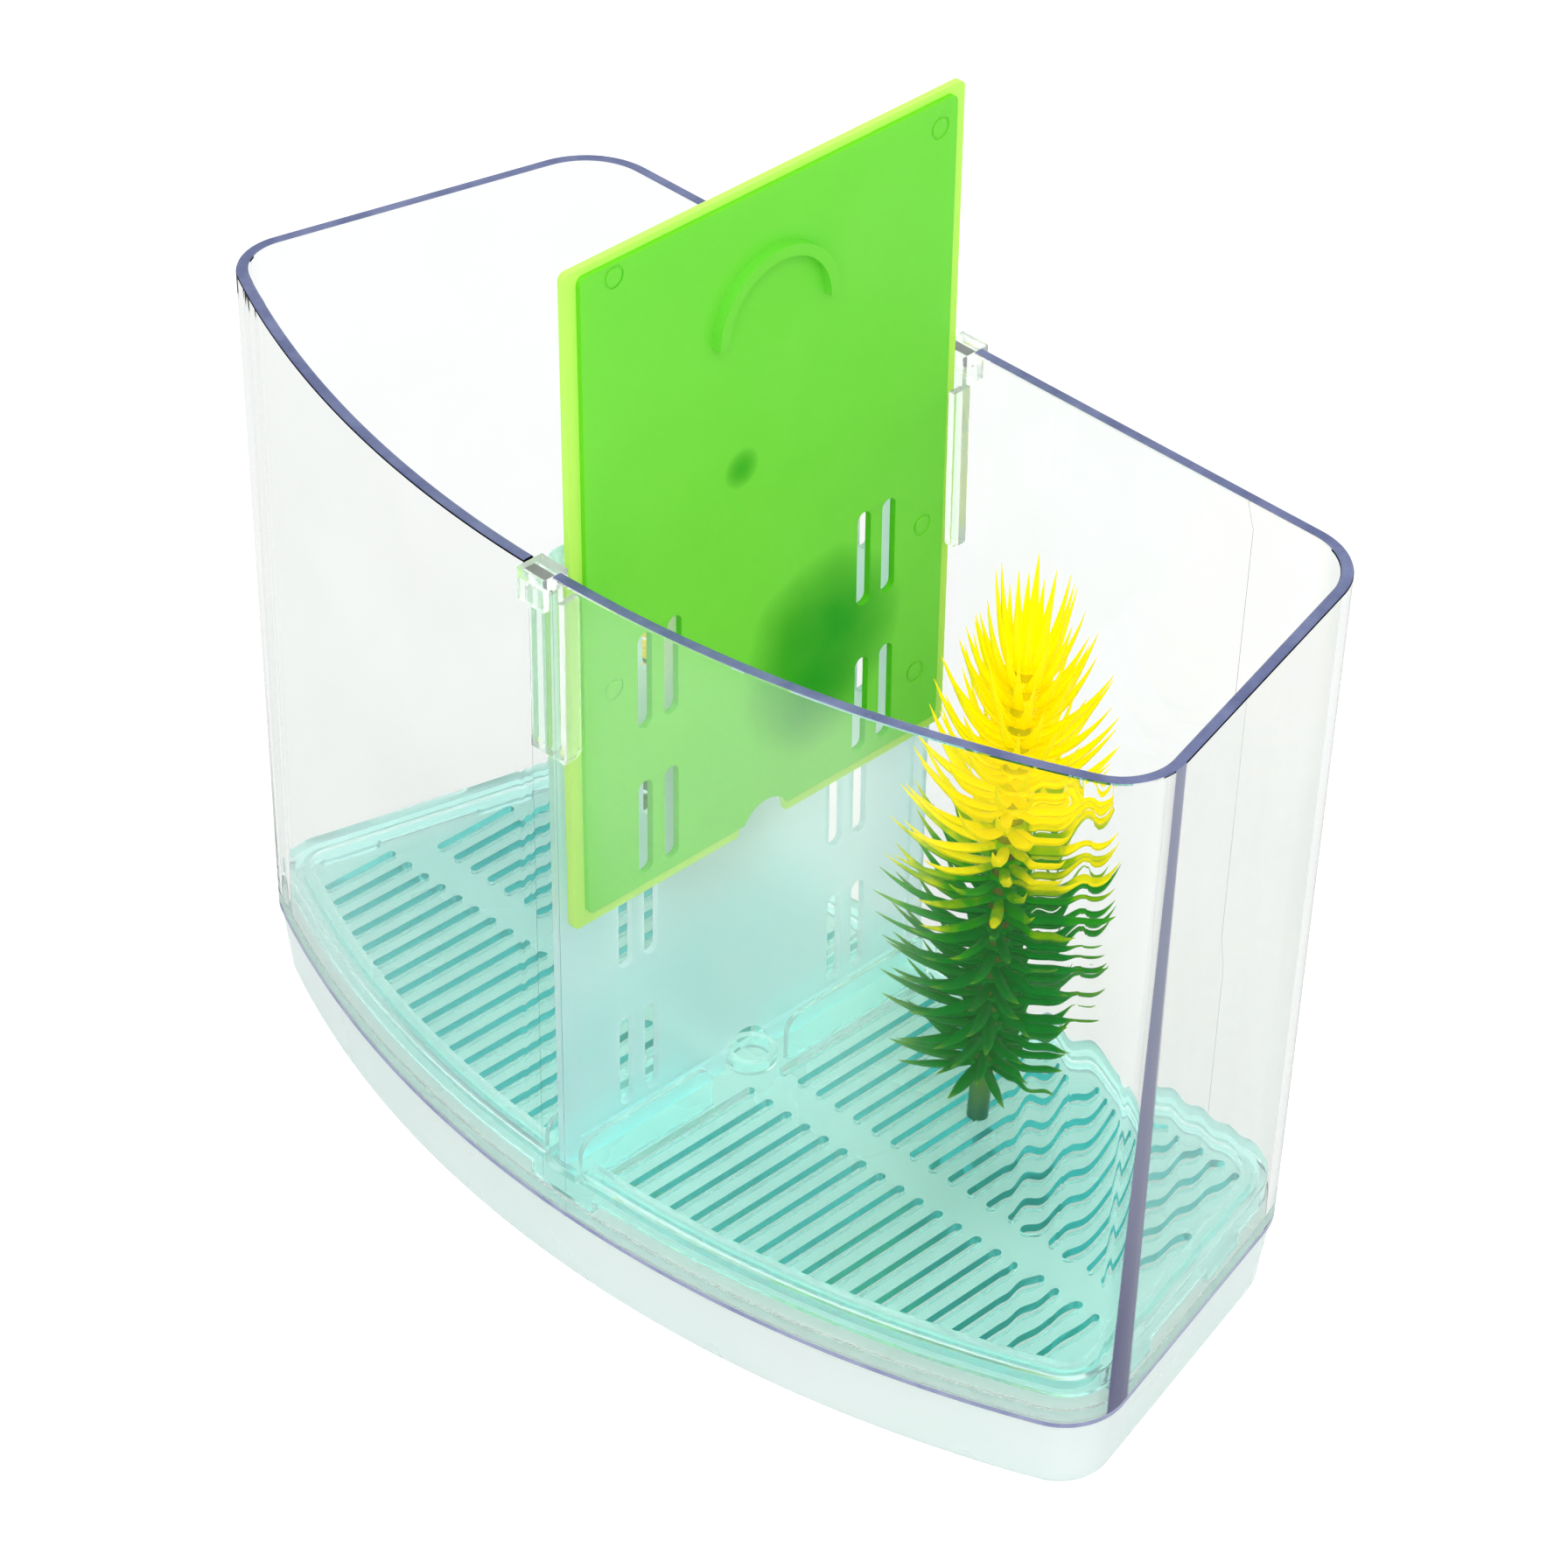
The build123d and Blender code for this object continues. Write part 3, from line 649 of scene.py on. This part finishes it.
def build_tank():
    """the shell as a stack of outlines: under the foot, up the outside, over the rim and down
    the inside to the floor"""
    climb = RIM_Z - RIM_ROUND - TANK_BOTTOM
    heights = [TANK_BOTTOM + climb * k / WALL_BANDS for k in range(WALL_BANDS + 1)]
    rings = [
        (WALL, TANK_BOTTOM + FOOT_RING),
        (WALL, TANK_BOTTOM + AIR_GAP),
        (RIM_ROUND, TANK_BOTTOM + AIR_GAP),
        (0.0, TANK_BOTTOM + RIM_ROUND),
        (0.0, TANK_BOTTOM + FOOT_LINE),
    ]
    rings += [(0.0, z) for z in heights[1:]]
    rings.append((RIM_ROUND * 0.3, RIM_Z - RIM_ROUND * 0.3))
    rings.append((RIM_ROUND, RIM_Z))
    rings.append((WALL - RIM_ROUND, RIM_Z))
    rings.append((WALL - RIM_ROUND * 0.3, RIM_Z - RIM_ROUND * 0.3))
    rings += [(WALL, z) for z in reversed(heights) if z > FLOOR_TOP + 2]
    rings.append((WALL, FLOOR_TOP + 1.0))
    rings.append((WALL + 0.3, FLOOR_TOP + 0.3))
    rings.append((WALL + 1.0, FLOOR_TOP))
    mesh = bmesh.new()
    corner = mesh.verts.layers.float.new("corner")
    loops = []
    for inset, z in rings:
        loop = []
        inner = inset >= WALL and z > FLOOR_TOP
        for p, n in snap_notch(tank_outline(z, OUTLINE_STEPS)):
            q = p - n * (inset + (ripple(p) if inner else 0.0))
            top = RIM_Z - (NOTCH_DEPTH + AIR_GAP) * (abs(p.x) < NOTCH_HALF)
            height = min(z, top - (RIM_Z - z) * 0.02 if z > top else z)
            vertex = mesh.verts.new((q.x * MM, q.y * MM, height * MM))
            vertex[corner] = corner_turn(p, n) if inset < RIM_ROUND * 0.5 else NO_CORNER
            loop.append(vertex)
        loops.append(loop)
    total = len(loops[0])
    for level, (lower, upper) in enumerate(zip(loops, loops[1:])):
        for k in range(total):
            face = mesh.faces.new((lower[k], lower[(k + 1) % total], upper[(k + 1) % total], upper[k]))
            face.material_index = 2 if level in FOOT_LEVELS else 0
    mesh.faces.new(loops[-1])
    # milky, which ends the light's run inside the floor
    underside = mesh.faces.new(list(reversed(loops[0])))
    underside.material_index = 3
    bmesh.ops.recalc_face_normals(mesh, faces=mesh.faces)
    data = bpy.data.meshes.new("tank_shell")
    mesh.to_mesh(data)
    mesh.free()
    for polygon in data.polygons:
        polygon.use_smooth = True
    data.set_sharp_from_angle(angle=math.radians(SHARP_ANGLE))
    piece = bpy.data.objects.new("tank_shell", data)
    bpy.context.scene.collection.objects.link(piece)
    for material in (clear_wall, wall_edge, foot_edge, base_milky):
        data.materials.append(material)
    for polygon in data.polygons:
        z = polygon.center.z / MM
        if polygon.normal.z > 0.6 and z > RIM_Z - RIM_ROUND:
            polygon.material_index = 1
    return piece


tank_shell = build_tank()
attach(tank_shell, "tank")
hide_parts("tank")


# ---------- plants ----------

def plant_matrix(place):
    """from a plant's own millimetres, foot at the origin, to its leaning place on the tray"""
    each = math.radians(place["tilt"]) / math.sqrt(2)
    lean = Matrix.Rotation(-each, 4, "X") @ Matrix.Rotation(each, 4, "Y")
    turn = Matrix.Rotation(math.radians(place["turn"]), 4, "Z")
    at = Vector((place["at"][0], place["at"][1], PLATE_TOP))
    return Matrix.Scale(MM, 4) @ Matrix.Translation(at) @ lean @ turn


def join_rings(mesh, rings, sides):
    for low, high in zip(rings, rings[1:]):
        for k in range(sides):
            mesh.faces.new((low[k], low[(k + 1) % sides], high[(k + 1) % sides], high[k]))


def add_needle(mesh, layers, angle, reach, rise, width, ripe, rng):
    """one flattened blade that leaves the hub level and curves up to a point"""
    twist = rng.uniform(-0.3, 0.3)
    drift = rng.uniform(-0.08, 0.08)
    start, bend = NEEDLE_ROOT, NEEDLE_ROOT + (reach - NEEDLE_ROOT) * NEEDLE_BEND
    rings = []
    for i in range(NEEDLE_STEPS + 1):
        t = i / NEEDLE_STEPS
        a, b, c = (1 - t) ** 2, 2 * t * (1 - t), t * t
        radius = a * start + b * bend + c * reach
        height = b * rise * NEEDLE_SAG + c * rise
        run = 2 * (1 - t) * (bend - start) + 2 * t * (reach - bend)
        climb = 2 * (1 - t) * rise * NEEDLE_SAG + 2 * t * rise * (1 - NEEDLE_SAG)
        pitch = math.atan2(climb, run)
        belly = 0.75 + 0.5 * math.sin(math.pi * min(t * 1.25, 1.0)) * 0.5
        size = width * belly * (1 - t ** 3.2) + 0.1
        centre = Vector((radius, drift * radius * t, height))
        side = Vector((0, math.cos(twist), math.sin(twist)))
        over = Vector((-math.sin(pitch), 0, math.cos(pitch)))
        ring = []
        for k in range(NEEDLE_SIDES):
            phase = TAU * k / NEEDLE_SIDES
            offset = side * (math.cos(phase) * size / 2)
            offset += over * (math.sin(phase) * size * NEEDLE_HALF_HEIGHT)
            point = Matrix.Rotation(angle, 3, "Z") @ (centre + offset)
            vertex = mesh.verts.new(point)
            vertex[layers["ripe"]] = ripe(t)
            vertex[layers["tip"]] = max(0.0, t - 0.75) * 4
            ring.append(vertex)
        rings.append(ring)
    join_rings(mesh, rings, NEEDLE_SIDES)
    mesh.faces.new(rings[-1])
    mesh.faces.new(list(reversed(rings[0])))


def add_hub(mesh, layers, ripe_value):
    """ribbed collar that the needles grow from"""
    loops = []
    for radius, z in HUB_PROFILE:
        loop = []
        for k in range(HUB_SIDES):
            rib = 1 + 0.04 * (k % 2)
            phase = TAU * k / HUB_SIDES
            out = radius * rib
            vertex = mesh.verts.new((out * math.cos(phase), out * math.sin(phase), z))
            vertex[layers["ripe"]] = ripe_value
            vertex[layers["tip"]] = 0.0
            loop.append(vertex)
        loops.append(loop)
    join_rings(mesh, loops + loops[:1], HUB_SIDES)


def grow_whorl(name, index, matrix, rng):
    """one whorl as one piece: its reach follows the plant's spindle shape, and its needles stand
    steeper and turn from green to yellow towards the top"""
    mesh = bmesh.new()
    layers = {key: mesh.verts.layers.float.new(key) for key in ("ripe", "tip")}
    up = index / (WHORLS - 1)
    spindle = math.sin(math.pi * (0.22 + 0.74 * up)) ** 0.6
    reach = NEEDLE_REACH * spindle
    rise = 2.5 + 13.0 * up ** 0.8
    base_ripe = (up - 0.4) * 3.4
    add_hub(mesh, layers, min(max(base_ripe * 0.8, 0), 1))
    for k in range(NEEDLES):
        bearing = TAU * (k + rng.uniform(-0.22, 0.22)) / NEEDLES
        angle = bearing + math.radians(WHORL_TURN) * index
        edge = base_ripe + rng.uniform(-0.22, 0.22)
        add_needle(
            mesh, layers, angle,
            reach * rng.uniform(0.86, 1.0),
            rise * rng.uniform(0.8, 1.12) + rng.uniform(-0.8, 0.8),
            NEEDLE_WIDTH * rng.uniform(0.85, 1.1),
            lambda t, edge=edge: min(max(edge + 0.45 * t, 0), 1),
            rng,
        )
    bmesh.ops.recalc_face_normals(mesh, faces=mesh.faces)
    mesh.transform(matrix @ Matrix.Translation((0, 0, FIRST_WHORL + WHORL_PITCH * index)))
    data = bpy.data.meshes.new(name)
    mesh.to_mesh(data)
    mesh.free()
    for polygon in data.polygons:
        polygon.use_smooth = True
    data.set_sharp_from_angle(angle=math.radians(60))
    data.materials.append(leaf)
    piece = bpy.data.objects.new(name, data)
    bpy.context.scene.collection.objects.link(piece)
    return piece


for side, place in PLANTS.items():
    rng = random.Random(place["seed"])
    matrix = plant_matrix(place)
    for index in range(WHORLS):
        leaves = grow_whorl(f"{side}_leaves_{index + 1:02d}", index, matrix, rng)
        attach(leaves, side + "_plant")
        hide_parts(f"{side}_whorl_{index + 1:02d}")


# ---------- stage ----------

def add_floor():
    """wide flat floor that the case stands on"""
    mesh = bmesh.new()
    signs = ((-1, -1), (1, -1), (1, 1), (-1, 1))
    mesh.faces.new([mesh.verts.new((x * FLOOR_HALF, y * FLOOR_HALF, 0)) for x, y in signs])
    data = bpy.data.meshes.new("floor")
    mesh.to_mesh(data)
    mesh.free()
    floor = bpy.data.objects.new("floor", data)
    bpy.context.scene.collection.objects.link(floor)
    data.materials.append(floor_material())


def add_world():
    """even light, and plain white for what the camera sees, straight or by way of glass and gloss"""
    world = bpy.data.worlds.new("studio")
    bpy.context.scene.world = world
    world.use_nodes = True
    tree = world.node_tree
    tree.nodes.clear()
    output = tree.nodes.new("ShaderNodeOutputWorld")
    path = tree.nodes.new("ShaderNodeLightPath")
    seen = tree.nodes.new("ShaderNodeMath")
    seen.operation = "MAXIMUM"
    both = tree.nodes.new("ShaderNodeMath")
    both.operation = "MAXIMUM"
    tree.links.new(path.outputs["Is Camera Ray"], seen.inputs[0])
    tree.links.new(path.outputs["Is Glossy Ray"], seen.inputs[1])
    tree.links.new(seen.outputs[0], both.inputs[0])
    tree.links.new(path.outputs["Is Transmission Ray"], both.inputs[1])
    lit = tree.nodes.new("ShaderNodeBackground")
    lit.inputs["Color"].default_value = (0.98, 0.99, 1.0, 1)
    lit.inputs["Strength"].default_value = WORLD_LEVEL
    white = tree.nodes.new("ShaderNodeBackground")
    white.inputs["Color"].default_value = (1, 1, 1, 1)
    white.inputs["Strength"].default_value = 1.0
    mixed = tree.nodes.new("ShaderNodeMixShader")
    tree.links.new(both.outputs[0], mixed.inputs[0])
    tree.links.new(lit.outputs[0], mixed.inputs[1])
    tree.links.new(white.outputs[0], mixed.inputs[2])
    tree.links.new(mixed.outputs[0], output.inputs["Surface"])


def add_lamp(name, power, size, at, target):
    data = bpy.data.lights.new(name, "AREA")
    data.energy = power
    data.size = size
    lamp = bpy.data.objects.new(name, data)
    bpy.context.scene.collection.objects.link(lamp)
    lamp.location = at
    lamp.rotation_mode = "QUATERNION"
    lamp.rotation_quaternion = (Vector(target) - Vector(at)).to_track_quat("-Z", "Y")


add_floor()
add_world()
add_lamp("key", 5.0, 0.8, (0.7, -0.55, 0.95), (0, 0, 0.06))
add_lamp("top", 3.0, 0.9, (-0.3, 0.3, 1.15), (0, 0, 0.06))


# ---------- camera ----------

def add_camera():
    """at the photograph's viewing angle"""
    azimuth, elevation, roll = (math.radians(a) for a in (AZIMUTH, ELEVATION, ROLL))
    look = Vector(LOOK_AT) * MM
    distance = DISTANCE * MM
    back = Vector((
        math.sin(azimuth) * math.cos(elevation),
        -math.cos(azimuth) * math.cos(elevation),
        math.sin(elevation),
    ))
    right = (-back).cross(Vector((0, 0, 1))).normalized()
    up = right.cross(-back)
    turned_right = right * math.cos(roll) + up * math.sin(roll)
    turned_up = up * math.cos(roll) - right * math.sin(roll)
    data = bpy.data.cameras.new("camera")
    data.sensor_width = 36.0
    data.lens = LENS
    data.shift_x, data.shift_y = SHIFT
    data.clip_start, data.clip_end = 0.05, 50.0
    camera = bpy.data.objects.new("camera", data)
    bpy.context.scene.collection.objects.link(camera)
    turn = Matrix((turned_right, turned_up, back)).transposed().to_4x4()
    camera.matrix_world = Matrix.Translation(look + back * distance) @ turn
    bpy.context.scene.camera = camera


add_camera()
scene = bpy.context.scene
scene.view_settings.view_transform = "Standard"
scene.cycles.max_bounces = 32
scene.cycles.transmission_bounces = 28
scene.cycles.transparent_max_bounces = 32
scene.cycles.glossy_bounces = 8
scene.cycles.diffuse_bounces = 5
